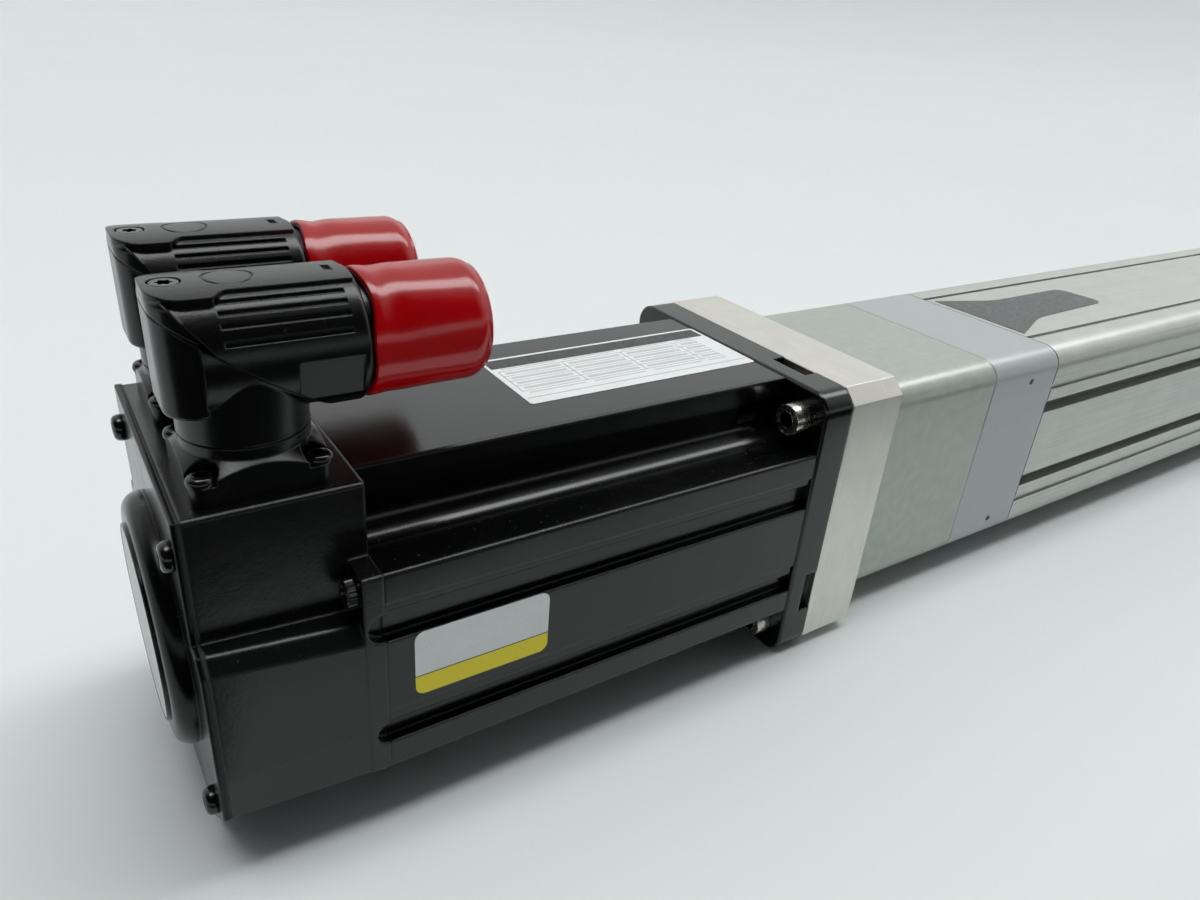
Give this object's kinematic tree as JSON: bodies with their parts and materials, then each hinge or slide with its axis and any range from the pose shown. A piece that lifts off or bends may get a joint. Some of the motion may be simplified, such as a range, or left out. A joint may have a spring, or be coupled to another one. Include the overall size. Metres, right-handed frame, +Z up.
{
  "type": "electric cylinder",
  "caption": "Ball-screw electric cylinder with an in-line servo motor, adapter plate, coupling housing, slotted square barrel, swivelling capped connectors and a threaded rod end.",
  "frame": {"origin": "centre of the front mounting face on the thrust axis", "axes": "+X along the thrust axis in the direction the rod extends, +Z up through the connectors"},
  "size_m": [0.8305, 0.0984, 0.1433],
  "materials": {
    "black_castings": "satin black paint over die-cast aluminium",
    "black_fasteners": "black oxide",
    "bright_fasteners": "bright socket screws",
    "seal_rubber": "matt nitrile",
    "laminations": "stacked steel sheet",
    "copper_coils": "varnished copper",
    "bearing_steel": "ground",
    "magnets": "nickel plated",
    "encoder_plastic": "moulded",
    "bare_aluminium": "machined",
    "grey_green_aluminium": "satin, faintly mottled",
    "blue_grey_caps": "fine powder coat",
    "anodised_barrel": "clear anodised extrusion",
    "spider_elastomer": "polyurethane",
    "guide_polymer": "filled bearing polymer",
    "chromed_rod": "hard chrome",
    "rod_steel": "zinc plated",
    "bush_bronze": "bronze",
    "connector_plastic": "moulded",
    "gold_pins": "gold flash",
    "red_vinyl": "glossy dip-moulded vinyl"
  },
  "bodies": {
    "housing": {"motor_housing": "black_castings", "motor_flange": "black_castings", "rear_end_bell": "black_castings", "rear_cover": "black_castings", "power_base": "black_castings", "feedback_base": "black_castings", "rear_cover_screws": "black_fasteners", "ground_screw": "black_fasteners", "base_screws": "black_fasteners", "motor_bolts": "bright_fasteners", "plate_screws": "bright_fasteners", "tie_screws": "bright_fasteners", "retainer_screws": "bright_fasteners", "head_screws": "bright_fasteners", "rear_gasket": "seal_rubber", "shaft_seal": "seal_rubber", "rod_wiper": "seal_rubber", "stator_core": "laminations", "stator_windings": "copper_coils", "front_motor_bearing": "bearing_steel", "rear_motor_bearing": "bearing_steel", "thrust_bearings": "bearing_steel", "bearing_retainer": "bearing_steel", "encoder_body": "encoder_plastic", "adapter_plate": "bare_aluminium", "coupling_housing": "grey_green_aluminium", "drive_end_cap": "blue_grey_caps", "front_head": "blue_grey_caps", "barrel": "anodised_barrel", "rear_bumper": "spider_elastomer", "front_bumper": "spider_elastomer", "rod_bush": "bush_bronze"},
    "drive": {"motor_shaft": "bearing_steel", "rotor_magnets": "magnets", "encoder_disc": "encoder_plastic", "motor_hub": "bare_aluminium", "coupling_spider": "spider_elastomer", "screw_hub": "bare_aluminium", "ball_screw": "bearing_steel", "bearing_locknut": "bearing_steel"},
    "rod": {"ball_nut": "bearing_steel", "nut_screws": "bright_fasteners", "guide_carrier": "bare_aluminium", "guide_keys": "guide_polymer", "wear_rings": "guide_polymer", "thrust_tube": "chromed_rod", "rod_end": "rod_steel"},
    "power_elbow": {"power_elbow_lower": "black_castings", "power_elbow_upper": "black_castings", "power_elbow_screw": "black_fasteners", "power_insert": "connector_plastic", "power_pins": "gold_pins"},
    "feedback_elbow": {"feedback_elbow_lower": "black_castings", "feedback_elbow_upper": "black_castings", "feedback_elbow_screw": "black_fasteners", "feedback_insert": "connector_plastic", "feedback_pins": "gold_pins"},
    "power_cap": {"power_cap": "red_vinyl"},
    "feedback_cap": {"feedback_cap": "red_vinyl"}
  },
  "joints": [
    {"name": "rod_slide", "type": "slide", "parent": "housing", "child": "rod", "axis": [1, 0, 0], "range_m": [0, 0.3048]},
    {"name": "drive_spin", "type": "hinge", "parent": "housing", "child": "drive", "pos_m": [-0.4, 0, 0], "axis": [1, 0, 0], "range_deg": [0, 10972.8]},
    {"name": "power_swivel", "type": "hinge", "parent": "housing", "child": "power_elbow", "pos_m": [-0.7304, -0.0216, 0.0612], "axis": [0, 0, -1], "range_deg": [0, 180]},
    {"name": "feedback_swivel", "type": "hinge", "parent": "housing", "child": "feedback_elbow", "pos_m": [-0.7304, 0.0216, 0.0612], "axis": [0, 0, 1], "range_deg": [0, 180]},
    {"name": "power_cap_pull", "type": "slide", "parent": "power_elbow", "child": "power_cap", "axis": [1, 0, 0], "range_m": [0, 0.035]},
    {"name": "feedback_cap_pull", "type": "slide", "parent": "feedback_elbow", "child": "feedback_cap", "axis": [1, 0, 0], "range_m": [0, 0.035]}
  ],
  "couplings": [
    {"joint": "drive_spin", "follows": "rod_slide", "rad_per_m": 628.32}
  ]
}
